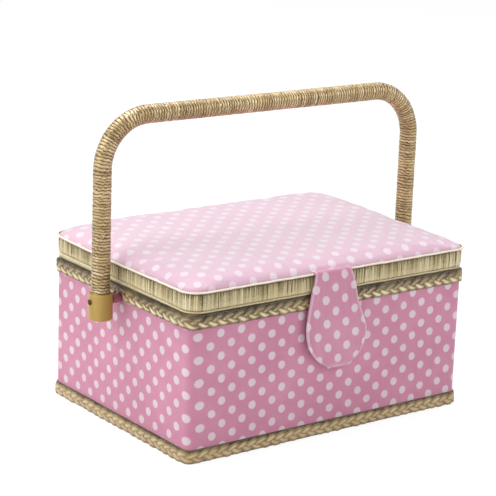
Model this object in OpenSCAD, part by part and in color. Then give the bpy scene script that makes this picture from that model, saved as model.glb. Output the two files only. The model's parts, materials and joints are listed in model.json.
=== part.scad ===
// Sewing basket: a cloth-covered box with a padded hinged lid, a swinging wound handle,
// a closing tab and a lift-out tray. Millimetres, +Z up, front towards -Y.
// The origin is the middle of the underside.

/* [Box] */
// Width of the box over its cloth cover
box_w = 243; // [200:1:320]
// Depth of the box over its cloth cover
box_d = 173; // [150:1:220]
// Height of the box from the ground to its rim
box_h = 105; // [100:1:140]
// Outer radius of the upright corners
corner_r = 4.5; // [3:0.5:10]
// Thickness of the wall boards
board_t = 4; // [3:0.5:5]
// Thickness of the bottom board
base_t = 4; // [3:0.5:6]
// Thickness of the sheet glued under the bottom
base_sheet_t = 0.8; // [0.5:0.1:1.5]
// Thickness of the outer cloth with its backing
cover_t = 0.8; // [0.5:0.1:1.5]
// Thickness of the quilted lining
lining_t = 1; // [0.6:0.1:1.5]
// Height of the wooden frame round the top of the walls
rim_h = 16; // [15:0.5:20]

/* [Braids] */
// Height of the braid round the bottom edge
base_braid_h = 9.3; // [7:0.1:12]
// How far the bottom braid stands proud of the cloth
base_braid_t = 2; // [1.5:0.1:4]
// How much of the bottom braid is pressed flat where it stands
base_braid_foot = 0.5; // [0.2:0.1:1]
// Height of the braid round the rim
rim_braid_h = 9.8; // [7:0.1:10.5]
// How far the rim braid stands proud of the cloth
rim_braid_t = 2; // [1.5:0.1:4]
// Distance from the rim down to the top of its braid
rim_braid_drop = 1; // [0.6:0.1:2]
// Distance from the rim down to the top of the cloth
cover_drop = 0.6; // [0.2:0.1:1]

/* [Lid] */
// Gap between the closed lid and the rim
lid_gap = 0.3; // [0.2:0.05:0.6]
// Height of the lid frame with the board on it
lid_h = 14.2; // [13:0.1:20]
// Width of the wooden strips of the lid frame
lid_frame_t = 6; // [5:0.5:8]
// Thickness of the board on the lid frame
lid_board_t = 2; // [1.5:0.5:3]
// Thickness of the layer of wound cord round the lid
band_t = 2.2; // [1.2:0.1:2.6]
// Outer radius of the lid corners
lid_corner_r = 12.5; // [9:0.5:16]
// Radius of the piping above the wound band
piping_r = 0.9; // [0.6:0.05:1]
// Radius of the thin cord below the wound band
edge_cord_r = 0.8; // [0.6:0.05:1]
// Height of the padding at the middle of the lid
crown_h = 9.6; // [6:0.1:14]
// Thickness of the cloth over the padding
cloth_t = 0.8; // [0.6:0.1:1.2]
// Thickness of the lining inside the lid
lid_lining_t = 0.8; // [0.5:0.1:1.2]

/* [Lid inside] */
// Width of the gathered pocket
pocket_w = 190; // [120:1:196]
// Depth of the gathered pocket
pocket_d = 78; // [60:1:84]
// Distance from the front of the lid lining to the pocket
pocket_front = 8; // [6:1:10]
// Thickness of the gathered pocket
pocket_t = 3.6; // [3:0.1:5]
// Number of gathers in the pocket
pocket_gathers = 26; // [10:1:40]
// Width of the elastic at the mouth of the pocket
elastic_w = 6; // [4:0.5:8]
// How far the elastic stands out below the pocket
elastic_t = 1; // [0.6:0.1:1.5]
// Width of the pincushion
pincushion_w = 62; // [40:1:90]
// Depth of the pincushion
pincushion_d = 38; // [30:1:40]
// Height of the pincushion
pincushion_h = 9.5; // [7:0.1:9.8]
// Distance from the back of the lid lining to the pincushion
pincushion_back = 18; // [4:0.5:20]

/* [Closing tab] */
// Width of the tab at the lid
tab_top_w = 36; // [24:1:40]
// Largest width of the tab, across its round end
tab_w = 55.4; // [44:0.1:64]
// Length of the tab from the lid to its tip
tab_l = 70.5; // [64:0.5:80]
// Thickness of the tab
tab_t = 3; // [2:0.1:4]
// Radius of the two closure discs
disc_r = 6; // [4:0.5:7]
// Distance from the tip of the tab to the middle of the discs
disc_up = 22; // [18:0.5:26]
// Thickness of the steel disc on the box
catch_t = 1; // [0.6:0.1:1.2]

/* [Handle] */
// Height of the middle of the bar above the pivots
handle_rise = 127.8; // [120:0.1:150]
// Radius of the bends, at the middle of the rod
bend_r = 36; // [25:0.5:45]
// Radius of the rod inside the winding
core_r = 4.5; // [4:0.1:5]
// Outer radius of the winding
wrap_r = 6.8; // [6:0.1:7]
// Depth of the grooves between the turns
wrap_groove = 0.5; // [0.2:0.05:0.8]
// Distance from one turn to the next
wrap_pitch = 2.8; // [2.6:0.1:4]

/* [Pivots] */
// Distance from the rim down to the pivots
pivot_drop = 9.5; // [8:0.5:11]
// Radius of the ferrules
ferrule_r = 8.5; // [8:0.1:9.5]
// Length of the ferrules
ferrule_h = 18.8; // [17:0.1:22]
// Distance from the pivots down to the end of the ferrules
ferrule_below = 13.1; // [11:0.1:15]
// Thickness of the closed end of the ferrules
ferrule_floor = 1.6; // [1:0.1:3]
// Depth of the mouth that takes the end of the winding
mouth_d = 1.6; // [1:0.1:2.5]
// Width of the bevel round the mouth
mouth_bevel = 0.8; // [0.3:0.1:1]
// Radius of the rivets
rivet_r = 1.4; // [1.1:0.1:2]
// Radius of the outer rivet heads
rivet_head_r = 2; // [1.8:0.1:3.2]
// Thickness of the outer rivet heads
rivet_head_t = 1.2; // [0.8:0.1:2]
// Radius of the flat inner rivet heads
rivet_foot_r = 4; // [3:0.1:5]
// Thickness of the flat inner rivet heads
rivet_foot_t = 0.8; // [0.6:0.1:1]
// Radius of the spacers between ferrules and box
spacer_r = 3.2; // [2.8:0.1:6]
// Length of the spacers between ferrules and box
spacer_l = 7; // [5:0.1:12]

/* [Hinges] */
// Distance from the middle of the box to the middle of each hinge
hinge_x = 68; // [50:1:80]
// Length of each hinge
hinge_l = 26; // [20:1:36]
// Reach of each leaf from the pin
leaf_h = 12; // [11:0.5:13]
// Thickness of the leaves
leaf_t = 0.9; // [0.7:0.1:1.2]
// Outer radius of the knuckles
knuckle_r = 1.9; // [1.7:0.1:2.2]
// Radius of the hinge pins
hinge_pin_r = 0.9; // [0.7:0.05:1]
// Radius of the hinge screws
screw_r = 0.8; // [0.6:0.05:1]
// Radius of the screw heads
screw_head_r = 1.7; // [1.5:0.1:2.2]
// Height of the screw heads
screw_head_t = 0.7; // [0.5:0.1:1]
// Length of the screws under the head
screw_l = 4.2; // [3:0.1:4.4]
// Distance from the end of a leaf to its screws
screw_edge = 3.6; // [3:0.1:4]

/* [Tray] */
// Height of the tray
tray_h = 30; // [20:1:36]
// Distance from the rim down to the top of the tray
tray_drop = 13; // [12.6:0.1:16]
// Gap between the tray and the lining
tray_gap = 1.4; // [1:0.1:2]
// Thickness of the tray walls and floor
tray_t = 1.6; // [1.2:0.1:2.4]
// Width of the lip round the tray
lip_w = 1.5; // [1:0.1:2]
// Width of the middle compartment
tray_mid_w = 76; // [50:1:100]
// Width of the finger notches
notch_w = 34; // [28:1:40]
// Depth of the finger notches
notch_d = 12; // [8:0.5:16]
// Radius of the tray corners
tray_r = 5; // [4:0.5:8]
// Width of the ledges that carry the tray
ledge_w = 6; // [5:0.5:8]
// Height of the ledges
ledge_h = 6; // [4:0.5:8]
// Length of each ledge
ledge_l = 40; // [30:1:50]

/* [Hidden] */

$fn = 48;
seat_gap = 0.2;      // pieces that rest on each other across a joint
side_gap = 0.3;      // pieces that pass each other as they move
pin_fit = 0.05;      // round clearance of a pin or screw in its hole
trim_gap = 0.05;     // neighbouring trims
eps = 0.01;          // how far a cut runs past a face
cut = 1;             // how far a through cut runs past the piece

// Heights of the box
base_top = base_sheet_t + base_t;
floor_z = base_top + lining_t;
rim_z = box_h - rim_h;
cover_top = box_h - cover_drop;
rim_braid_top = box_h - rim_braid_drop;
pivot_z = box_h - pivot_drop;

// Widths inside the box
frame_w = box_w - 2 * cover_t;
frame_d = box_d - 2 * cover_t;
inner_w = frame_w - 2 * board_t;
inner_d = frame_d - 2 * board_t;
room_w = inner_w - 2 * lining_t;
room_d = inner_d - 2 * lining_t;
room_r = 2;

// Heights of the lid
lid_z = box_h + lid_gap;
lid_top = lid_z + lid_h;
lid_board_z = lid_top - lid_board_t;
lid_inner_r = lid_corner_r - band_t;
piping_z = lid_top + 0.6 * piping_r;
piping_out = band_t + 0.6 * piping_r;
edge_cord_z = lid_z + edge_cord_r;
edge_cord_out = edge_cord_r + trim_gap;
band_z = edge_cord_z + edge_cord_r + trim_gap;
band_top = piping_z - piping_r - trim_gap;
pad_out = piping_out - piping_r - trim_gap;
lid_pad_w = box_w + 2 * pad_out;
lid_pad_d = box_d + 2 * pad_out;
lid_pad_r = lid_inner_r + pad_out;
lid_room_w = box_w - 2 * lid_frame_t;
lid_room_d = box_d - 2 * lid_frame_t;
lining_z = lid_board_z - lid_lining_t;
lid_lining_w = lid_room_w - 2 * lid_lining_t;
lid_lining_d = lid_room_d - 2 * lid_lining_t;

// Hinges
hinge_y = box_d / 2 + knuckle_r + leaf_t / 9;
hinge_z = box_h + lid_gap / 2;
knuckle_gap = 0.15;  // between neighbouring knuckles
knuckle_span = (hinge_l - 2 * knuckle_gap) / 3;
hinge_seat = 0.5;    // free room between a hinge and the trims round it

// Closing tab
tab_axis_y = -(box_d / 2 + piping_out + piping_r + side_gap + tab_t / 2);
tab_axis_z = piping_z;
tab_low_y = -(box_d / 2 + rim_braid_t + side_gap + tab_t / 2);
tab_bend_z = rim_braid_top + tab_t;
tab_tip_z = tab_axis_z - tab_l;
tab_round_r = tab_w / 2;
tab_round_z = tab_tip_z + tab_round_r;
disc_z = tab_tip_z + disc_up;
tab_back_y = tab_low_y + tab_t / 2;
magnet_t = -tab_back_y - box_d / 2 - catch_t - side_gap;

// Handle
spacer_end = box_w / 2 + spacer_l;
leg_x = spacer_end + side_gap + ferrule_r;
ferrule_z = pivot_z - ferrule_below;
ferrule_top = ferrule_z + ferrule_h;
mouth_r = wrap_r + 0.3;
wrap_z = ferrule_top - mouth_d + seat_gap;
core_z = ferrule_z + ferrule_floor + seat_gap;
bar_z = pivot_z + handle_rise;
leg_l = bar_z - bend_r - wrap_z;
bar_l = 2 * (leg_x - bend_r);
bend_l = PI / 2 * bend_r;
wrap_l = 2 * leg_l + 2 * bend_l + bar_l;

// Tray
tray_top = box_h - tray_drop;
tray_z = tray_top - tray_h;
tray_w = room_w - 2 * tray_gap - 2 * lip_w;
tray_d = room_d - 2 * tray_gap - 2 * lip_w;
ledge_top = tray_z - seat_gap;

// Rounded rectangle about the origin
module rounded(w, d, r) {
    square([w - 2 * r, d], center = true);
    square([w, d - 2 * r], center = true);
    for (x = [-1, 1], y = [-1, 1])
        translate([x * (w / 2 - r), y * (d / 2 - r)]) circle(r);
}

// Upright ring with flat faces, grown outwards from a rounded rectangle
module flat_ring(w, d, r, grow, z0, z1) {
    translate([0, 0, z0]) linear_extrude(z1 - z0) difference() {
        rounded(w + 2 * grow, d + 2 * grow, r + grow);
        rounded(w, d, r);
    }
}

// A profile (x outwards, y up) carried round a rounded rectangle
module carried_round(w, d, r) {
    for (k = [0:3]) rotate([0, 0, 90 * k]) {
        half = k % 2 == 0 ? w / 2 : d / 2;
        across = k % 2 == 0 ? d / 2 : w / 2;
        translate([half, 0, 0]) rotate([90, 0, 0])
            linear_extrude(2 * (across - r), center = true) children();
        translate([half - r, across - r, 0]) rotate_extrude(angle = 90)
            translate([r, 0]) children();
    }
}

// Bowed profile of a braid: a flat back of height h, standing out by t, cut flat below by foot
module braid_profile(h, t, foot = 0) {
    full = h + foot;
    bow_r = (full * full / 4 + t * t) / (2 * t);
    intersection() {
        square([t, h]);
        translate([t - bow_r, full / 2 - foot]) circle(bow_r);
    }
}

// Places a child at each hinge
module at_hinges() {
    for (x = [-hinge_x, hinge_x]) translate([x, hinge_y, hinge_z]) children();
}

// Mirrors a child onto both sides
module both_sides() {
    children();
    mirror([1, 0, 0]) children();
}

// Room that the trims leave round the hinges
module hinge_seats() {
    at_hinges() cube([hinge_l + 2 * hinge_seat, 4 * knuckle_r + 2 * rim_braid_t,
                      2 * (leaf_h + hinge_seat)], center = true);
}

// Bores for the handle rivets, from the room to past the ferrules
module rivet_bores(r) {
    both_sides() translate([room_w / 2 - cut, 0, pivot_z]) rotate([0, 90, 0])
        cylinder(r = r, h = leg_x + ferrule_r + cut - room_w / 2 + cut);
}

// Places a child at each screw of one kind of leaf, side 1 up or -1 down
module at_screws(side) {
    for (h = [-1, 1], s = [-1, 1])
        translate([h * hinge_x + s * (hinge_l / 2 - screw_edge), box_d / 2 + leaf_t,
                   hinge_z + side * (leaf_h - screw_edge)])
            rotate([90, 0, 0]) children();
}

module screw_holes(side) {
    at_screws(side) translate([0, 0, -cut])
        cylinder(r = screw_r + pin_fit, h = screw_l + seat_gap + cut);
}

module base_sheet() {
    color("#3b3633") linear_extrude(base_sheet_t) rounded(box_w, box_d, corner_r);
}

module base_panel() {
    color("#c9a878") translate([0, 0, base_sheet_t]) linear_extrude(base_t)
        rounded(frame_w, frame_d, corner_r - cover_t);
}

// Upright slab of the box wall, cut to the rounded outline
module wall_slab(size, at) {
    color("#c9a878") intersection() {
        translate([0, 0, base_top]) linear_extrude(rim_z - base_top)
            rounded(frame_w, frame_d, corner_r - cover_t);
        translate([at.x, at.y, (base_top + rim_z) / 2])
            cube([size.x, size.y, box_h], center = true);
    }
}

module front_board() {
    wall_slab([frame_w, board_t], [0, -(frame_d - board_t) / 2]);
}

module back_board() {
    wall_slab([frame_w, board_t], [0, (frame_d - board_t) / 2]);
}

module left_board() {
    wall_slab([board_t, inner_d], [-(frame_w - board_t) / 2, 0]);
}

module right_board() {
    wall_slab([board_t, inner_d], [(frame_w - board_t) / 2, 0]);
}

module rim_frame() {
    color("#d8bb8c") difference() {
        translate([0, 0, rim_z]) linear_extrude(rim_h) difference() {
            rounded(frame_w, frame_d, corner_r - cover_t);
            square([inner_w, inner_d], center = true);
        }
        rivet_bores(rivet_r + pin_fit);
        screw_holes(-1);
    }
}

module outer_cover() {
    color("#dc9cb8") difference() {
        flat_ring(frame_w, frame_d, corner_r - cover_t, cover_t, base_sheet_t, cover_top);
        rivet_bores(rivet_r + pin_fit);
        screw_holes(-1);
    }
}

module lining() {
    color("#f3dfe6") difference() {
        translate([0, 0, base_top]) linear_extrude(box_h - cover_drop - base_top)
            square([inner_w, inner_d], center = true);
        translate([0, 0, floor_z]) linear_extrude(box_h)
            rounded(room_w, room_d, room_r);
        rivet_bores(rivet_r + pin_fit);
    }
}

module base_braid() {
    color("#c9b98a") carried_round(box_w, box_d, corner_r)
        braid_profile(base_braid_h, base_braid_t, base_braid_foot);
}

module rim_braid() {
    color("#c9b98a") difference() {
        translate([0, 0, rim_braid_top - rim_braid_h]) carried_round(box_w, box_d, corner_r)
            braid_profile(rim_braid_h, rim_braid_t);
        hinge_seats();
        rivet_bores(spacer_r + seat_gap);
    }
}

module tray_ledges() {
    color("#c9a878") for (x = [-1, 1], y = [-1, 1])
        translate([x * (room_w - ledge_w) / 2, y * (room_d / 2 - room_r - ledge_l / 2),
                   ledge_top - ledge_h / 2])
            cube([ledge_w, ledge_l, ledge_h], center = true);
}

module catch_disc() {
    color("#c8ccd0") translate([0, -box_d / 2, disc_z]) rotate([90, 0, 0])
        cylinder(r = disc_r, h = catch_t);
}

module handle_spacers() {
    color("#4a3722") both_sides() translate([box_w / 2, 0, pivot_z]) rotate([0, 90, 0])
        difference() {
            cylinder(r = spacer_r, h = spacer_l);
            translate([0, 0, -cut]) cylinder(r = rivet_r + pin_fit, h = spacer_l + 2 * cut);
        }
}

module pivot_rivets() {
    head_x = leg_x + ferrule_r + seat_gap;
    foot_x = room_w / 2 - rivet_foot_t;
    color("#6b4a24") both_sides() translate([0, 0, pivot_z]) rotate([0, 90, 0]) {
        translate([0, 0, foot_x]) cylinder(r = rivet_r, h = head_x - foot_x + rivet_head_t / 2);
        translate([0, 0, foot_x]) cylinder(r = rivet_foot_r, h = rivet_foot_t);
        translate([0, 0, head_x]) intersection() {
            cylinder(r = rivet_head_r, h = rivet_head_t);
            dome_r = (rivet_head_r * rivet_head_r + rivet_head_t * rivet_head_t)
                     / rivet_head_t / 1.5;
            translate([0, 0, rivet_head_t - dome_r]) sphere(dome_r);
        }
    }
}

// One leaf with its knuckles; side is 1 up or -1 down, and spans lists its knuckles in thirds
module leaf(spans, side) {
    difference() {
        translate([-hinge_l / 2, box_d / 2 - hinge_y, side > 0 ? 0 : -leaf_h])
            cube([hinge_l, leaf_t, leaf_h]);
        cube([2 * hinge_l, 4 * knuckle_r, 2 * (knuckle_r + side_gap)], center = true);
    }
    for (k = spans) difference() {
        union() {
            translate([knuckle_x0(k), 0, 0]) rotate([0, 90, 0])
                cylinder(r = knuckle_r, h = knuckle_span);
            translate([knuckle_x0(k), box_d / 2 - hinge_y, side > 0 ? 0 : -knuckle_r - side_gap])
                cube([knuckle_span, leaf_t, knuckle_r + side_gap]);
        }
        translate([-hinge_l, 0, 0]) rotate([0, 90, 0])
            cylinder(r = hinge_pin_r + pin_fit, h = 2 * hinge_l);
    }
}

function knuckle_x0(k) = -hinge_l / 2 + k * (knuckle_span + knuckle_gap);

module hinge_box_leaves() {
    color("#c9a54a") difference() {
        at_hinges() leaf([0, 2], -1);
        screw_holes(-1);
    }
}

module hinge_lid_leaves() {
    color("#c9a54a") difference() {
        at_hinges() leaf([1], 1);
        screw_holes(1);
    }
}

module hinge_pins() {
    color("#b08d3c") at_hinges() translate([-hinge_l / 2, 0, 0]) rotate([0, 90, 0])
        cylinder(r = hinge_pin_r, h = hinge_l);
}

// Round-headed screws into one kind of leaf
module screws(side) {
    dome_r = (screw_head_r * screw_head_r + screw_head_t * screw_head_t) / 2 / screw_head_t;
    at_screws(side) {
        cylinder(r = screw_r, h = screw_l);
        intersection() {
            translate([0, 0, -screw_head_t]) cylinder(r = screw_head_r, h = screw_head_t);
            translate([0, 0, dome_r - screw_head_t]) sphere(dome_r);
        }
    }
}

module hinge_box_screws() {
    color("#b08d3c") screws(-1);
}

module hinge_lid_screws() {
    color("#b08d3c") screws(1);
}

module lid_frame() {
    color("#d8bb8c") difference() {
        translate([0, 0, lid_z]) linear_extrude(lid_board_z - lid_z) difference() {
            rounded(box_w, box_d, lid_inner_r);
            rounded(lid_room_w, lid_room_d, lid_inner_r / 2);
        }
        screw_holes(1);
    }
}

module lid_board() {
    color("#c9a878") translate([0, 0, lid_board_z]) linear_extrude(lid_board_t)
        rounded(box_w, box_d, lid_inner_r);
}

module lid_band() {
    color("#cfc091") difference() {
        flat_ring(box_w, box_d, lid_inner_r, band_t, band_z, band_top);
        hinge_seats();
    }
}

module lid_edge_cord() {
    color("#b7a56f") difference() {
        translate([0, 0, edge_cord_z]) carried_round(box_w, box_d, lid_inner_r)
            translate([edge_cord_out, 0]) circle(edge_cord_r, $fn = 24);
        hinge_seats();
    }
}

module lid_piping() {
    color("#e6d9b4") translate([0, 0, piping_z]) carried_round(box_w, box_d, lid_inner_r)
        translate([piping_out, 0]) circle(piping_r, $fn = 24);
}

// Points round a rounded rectangle: corner arcs with extra points along each side
arc_steps = 4;
side_steps = 5;
function outline_points(w, d, r) = [
    for (k = [0:3]) let (
        half = k % 2 == 0 ? w / 2 : d / 2,
        across = k % 2 == 0 ? d / 2 : w / 2,
        turn = 90 * k
    ) each concat(
        [for (i = [0:arc_steps]) let (a = 90 * i / arc_steps)
            spun([half - r + r * cos(a), across - r + r * sin(a)], turn)],
        [for (i = [1:side_steps]) let (f = i / (side_steps + 1))
            spun([(half - r) * (1 - 2 * f), across], turn)])
];
function spun(p, a) = [p.x * cos(a) - p.y * sin(a), p.x * sin(a) + p.y * cos(a)];

// Rings of a crowned pad: drawn-in sides and an almost level middle; a higher edge value
// gives steeper sides
pad_steps = 8;
lid_pad_edge = 12;
pincushion_edge = 3;
function pad_rings(w, d, r, h, edge) = [
    for (i = [0:pad_steps - 1]) let (a = 90 * i / pad_steps, k = pow(cos(a), 1 / edge))
        [for (p = outline_points(w, d, r)) [p.x * k, p.y * k, h * sin(a)]]
];

// Triangles between neighbouring rings of n points, and from the last ring to a middle point
function band_faces(n, rings, at) = [
    for (i = [0:rings - 2], j = [0:n - 1]) let (
        a = at + i * n + j, b = at + i * n + (j + 1) % n
    ) each [[a, a + n, b], [b, a + n, b + n]]
];
function fan_faces(n, ring_at, middle) = [
    for (j = [0:n - 1]) [ring_at + j, middle, ring_at + (j + 1) % n]
];
function turned(faces) = [for (f = faces) [f[2], f[1], f[0]]];

// Closed crowned pad, flat underneath
module pad(w, d, r, h, edge) {
    rings = pad_rings(w, d, r, h, edge);
    n = len(rings[0]);
    points = concat([for (ring = rings) each ring], [[0, 0, h], [0, 0, 0]]);
    last = n * pad_steps;
    polyhedron(points, concat(band_faces(n, pad_steps, 0),
                              fan_faces(n, n * (pad_steps - 1), last),
                              turned(fan_faces(n, 0, last + 1))));
}

// Cloth of thickness t over a crowned pad, open underneath
module pad_cloth(w, d, r, h, edge, t) {
    outer = pad_rings(w, d, r, h, edge);
    inner = pad_rings(w - 2 * t, d - 2 * t, r - t, h - t, edge);
    n = len(outer[0]);
    count = n * pad_steps;
    points = concat([for (ring = outer) each ring], [[0, 0, h]],
                    [for (ring = inner) each ring], [[0, 0, h - t]]);
    hem = [for (j = [0:n - 1]) let (a = j, b = (j + 1) % n, c = count + 1 + a, d = count + 1 + b)
           each [[a, b, c], [b, d, c]]];
    polyhedron(points, concat(
        band_faces(n, pad_steps, 0), fan_faces(n, n * (pad_steps - 1), count),
        turned(band_faces(n, pad_steps, count + 1)),
        turned(fan_faces(n, count + 1 + n * (pad_steps - 1), 2 * count + 1)), hem));
}

module lid_padding() {
    color("#f4f1ea") translate([0, 0, lid_top])
        pad(lid_pad_w - 2 * cloth_t, lid_pad_d - 2 * cloth_t, lid_pad_r - cloth_t,
            crown_h - cloth_t, lid_pad_edge);
}

module lid_cloth() {
    color("#f2d5e2") translate([0, 0, lid_top])
        pad_cloth(lid_pad_w, lid_pad_d, lid_pad_r, crown_h, lid_pad_edge, cloth_t);
}

module lid_lining() {
    color("#f3dfe6") difference() {
        translate([0, 0, lid_z + side_gap]) linear_extrude(lid_board_z - lid_z - side_gap)
            rounded(lid_room_w, lid_room_d, lid_inner_r / 2);
        translate([0, 0, lid_z]) linear_extrude(lining_z - lid_z)
            rounded(lid_lining_w, lid_lining_d, lid_inner_r / 2 - lid_lining_t);
    }
}

// Gathered outline: level above, waves below
module gathers(w, t, wave) {
    steps = 4 * pocket_gathers;
    polygon(concat([[w / 2, 0], [-w / 2, 0]],
                   [for (i = [0:steps]) [-w / 2 + w * i / steps,
                                         -t + wave * (1 - cos(360 * i / 4)) / 2]]));
}

module lid_pocket() {
    color("#f0c9d8")
        translate([0, -lid_lining_d / 2 + pocket_front + pocket_d, lining_z])
        rotate([90, 0, 0]) linear_extrude(pocket_d) gathers(pocket_w, pocket_t, pocket_t / 2);
}

module pocket_elastic() {
    color("#e8a9c2")
        translate([0, -lid_lining_d / 2 + pocket_front + pocket_d, lining_z])
        rotate([90, 0, 0]) linear_extrude(elastic_w) difference() {
            translate([-pocket_w / 2, -pocket_t - elastic_t])
                square([pocket_w, elastic_t + pocket_t / 3]);
            translate([0, eps]) gathers(pocket_w, pocket_t + eps, pocket_t / 2);
        }
}

module pincushion() {
    middle = lid_lining_d / 2 - pincushion_back - pincushion_d / 2;
    color("#dc8fb0") translate([0, middle, lining_z]) mirror([0, 0, 1])
        pad(pincushion_w, pincushion_d, pincushion_d * 0.45, pincushion_h, pincushion_edge);
}

// Where the straight sides of the tab meet its round end, from the middle of that end
tab_corner = [tab_top_w / 2, tab_l - tab_round_r];
tab_lean = atan2(tab_corner.y, tab_corner.x) - acos(tab_round_r / norm(tab_corner));
tab_meet = tab_round_r * [cos(tab_lean), sin(tab_lean)];

// Middle line of the tab at distance s below its turning axis: [y, z]
tab_slant = [tab_low_y - tab_axis_y, tab_bend_z - tab_axis_z];
function tab_middle(s) = let (f = max(0, min(1, s / -tab_slant.y)))
    [tab_axis_y + tab_slant.x * f, tab_axis_z - s];

// Half the width of the tab at that distance
function tab_half(s) = let (up = tab_l - tab_round_r - s)
    up > tab_meet.y
    ? tab_meet.x + (tab_corner.x - tab_meet.x) * (up - tab_meet.y) / (tab_corner.y - tab_meet.y)
    : sqrt(max(0, tab_round_r * tab_round_r - up * up));

// Cross-section of the tab: a flat oval of half width b and half thickness c
tab_sides = 12;
function tab_ring(s, b, c) = let (m = tab_middle(s)) [
    for (j = [0:tab_sides - 1]) let (a = 360 * j / tab_sides)
        [b * sign(cos(a)) * pow(abs(cos(a)), 0.35), m.x + c * sin(a), m.y]
];

// The tab: a rounded head on the turning axis, a slant over the trims, and a straight drop
module closing_tab() {
    head_steps = 3;
    drop_steps = 8;
    round_steps = 8;
    half_t = tab_t / 2;
    straight_l = tab_l - tab_round_r - tab_meet.y;
    rings = concat(
        [for (i = [1:head_steps]) let (a = 90 * i / (head_steps + 1))
            tab_ring(-half_t * cos(a), tab_top_w / 2, half_t * sin(a))],
        [for (i = [0:drop_steps]) let (s = straight_l * i / drop_steps)
            tab_ring(s, tab_half(s), half_t)],
        [for (i = [1:round_steps]) let (
            a = tab_lean - (90 + tab_lean) * i / (round_steps + 1),
            s = tab_l - tab_round_r - tab_round_r * sin(a))
            tab_ring(s, tab_half(s), half_t * (i < round_steps ? 1 : 0.8))]);
    top = tab_middle(-half_t);
    tip = tab_middle(tab_l);
    n = tab_sides;
    last = n * len(rings);
    color("#d487ab") polyhedron(
        concat([for (ring = rings) each ring], [[0, top.x, top.y], [0, tip.x, tip.y]]),
        turned(concat(band_faces(n, len(rings), 0), turned(fan_faces(n, 0, last)),
                      fan_faces(n, last - n, last + 1))));
}

module tab_magnet() {
    color("#b9bdc2") translate([0, tab_back_y + magnet_t, disc_z]) rotate([90, 0, 0])
        cylinder(r = disc_r, h = magnet_t);
}

// The rod: two legs, two bends and the bar
module rod(r, z0) {
    for (x = [-leg_x, leg_x]) translate([x, 0, z0]) cylinder(r = r, h = bar_z - bend_r - z0);
    translate([-bar_l / 2, 0, bar_z]) rotate([0, 90, 0]) cylinder(r = r, h = bar_l);
    both_sides() translate([leg_x - bend_r, 0, bar_z - bend_r]) rotate([90, 0, 0])
        rotate_extrude(angle = 90) translate([bend_r, 0]) circle(r);
}

module handle_core() {
    color("#a9834f") difference() {
        rod(core_r, core_z);
        rivet_bores(rivet_r + pin_fit);
    }
}

// Middle line of the handle at distance s from the foot of the left leg: [x, z, heading]
function handle_at(s) =
    s < leg_l ? [-leg_x, wrap_z + s, 90] :
    s < leg_l + bend_l ? bend_at((s - leg_l) / bend_l, -1) :
    s < leg_l + bend_l + bar_l ? [-bar_l / 2 + s - leg_l - bend_l, bar_z, 0] :
    s < leg_l + 2 * bend_l + bar_l ? bend_at(1 - (s - leg_l - bend_l - bar_l) / bend_l, 1) :
    [leg_x, wrap_z + max(0, wrap_l - s), -90];
function bend_at(f, side) = [side * (bar_l / 2 + bend_r * cos(90 * f)),
                             bar_z - bend_r + bend_r * sin(90 * f),
                             -side * (90 - 90 * f)];

// Ring of points round the middle line
wrap_sides = 8;
function wrap_ring(s, r) = let (at = handle_at(s)) [
    for (j = [0:wrap_sides - 1]) let (a = 360 * (j + 0.5) / wrap_sides)
        [at[0] - r * cos(a) * sin(at[2]), r * sin(a), at[1] + r * cos(a) * cos(at[2])]
];

// The winding: one rib for each turn outside, smooth inside with rings only at the bends
module handle_wrap() {
    turns = round(wrap_l / wrap_pitch);
    bend_steps = 8;
    bend_slack = (bend_r + core_r) * (1 - cos(45 / bend_steps));
    bore_r = (core_r + pin_fit + bend_slack) / cos(180 / wrap_sides);
    bore_at = concat(0, [for (start = [leg_l, leg_l + bend_l + bar_l], i = [0:bend_steps])
                         start + bend_l * i / bend_steps], wrap_l);
    outer = [for (i = [0:2 * turns])
        wrap_ring(wrap_l * i / (2 * turns), i % 2 == 0 ? wrap_r - wrap_groove : wrap_r)];
    inner = [for (s = bore_at) wrap_ring(s, bore_r)];
    n = wrap_sides;
    skip = n * len(outer);
    tip = n * (len(outer) - 1);
    bore_tip = skip + n * (len(inner) - 1);
    foot = [for (j = [0:n - 1]) let (k = (j + 1) % n)
            each [[j, k, skip + j], [k, skip + k, skip + j]]];
    head = [for (j = [0:n - 1]) let (k = (j + 1) % n)
            each [[tip + k, tip + j, bore_tip + j], [bore_tip + k, tip + k, bore_tip + j]]];
    color("#c8b98c") polyhedron(
        concat([for (ring = outer) each ring], [for (ring = inner) each ring]),
        concat(band_faces(n, len(outer), 0), turned(band_faces(n, len(inner), skip)),
               foot, head));
}

// Ferrule: a closed cup with a bevelled mouth, bored for the rod and across for the rivet
module ferrule(x) {
    color("#b49a52") difference() {
        translate([x, 0, ferrule_z]) rotate_extrude() polygon([
            [0, 0], [ferrule_r - mouth_bevel, 0], [ferrule_r, mouth_bevel],
            [ferrule_r, ferrule_h - mouth_bevel], [ferrule_r - mouth_bevel, ferrule_h],
            [mouth_r, ferrule_h], [mouth_r, ferrule_h - mouth_d],
            [core_r + pin_fit, ferrule_h - mouth_d], [core_r + pin_fit, ferrule_floor],
            [0, ferrule_floor]]);
        rivet_bores(rivet_r + pin_fit);
    }
}

module ferrule_left() {
    ferrule(-leg_x);
}

module ferrule_right() {
    ferrule(leg_x);
}

// Outline of the tray, drawn in by inset, with a finger notch in each end
module tray_outline(inset) {
    difference() {
        rounded(tray_w - 2 * inset, tray_d - 2 * inset, tray_r - inset);
        for (x = [-1, 1]) translate([x * tray_w / 2, 0])
            rounded(2 * (notch_d + inset), notch_w + 2 * inset, tray_r);
    }
}

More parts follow.
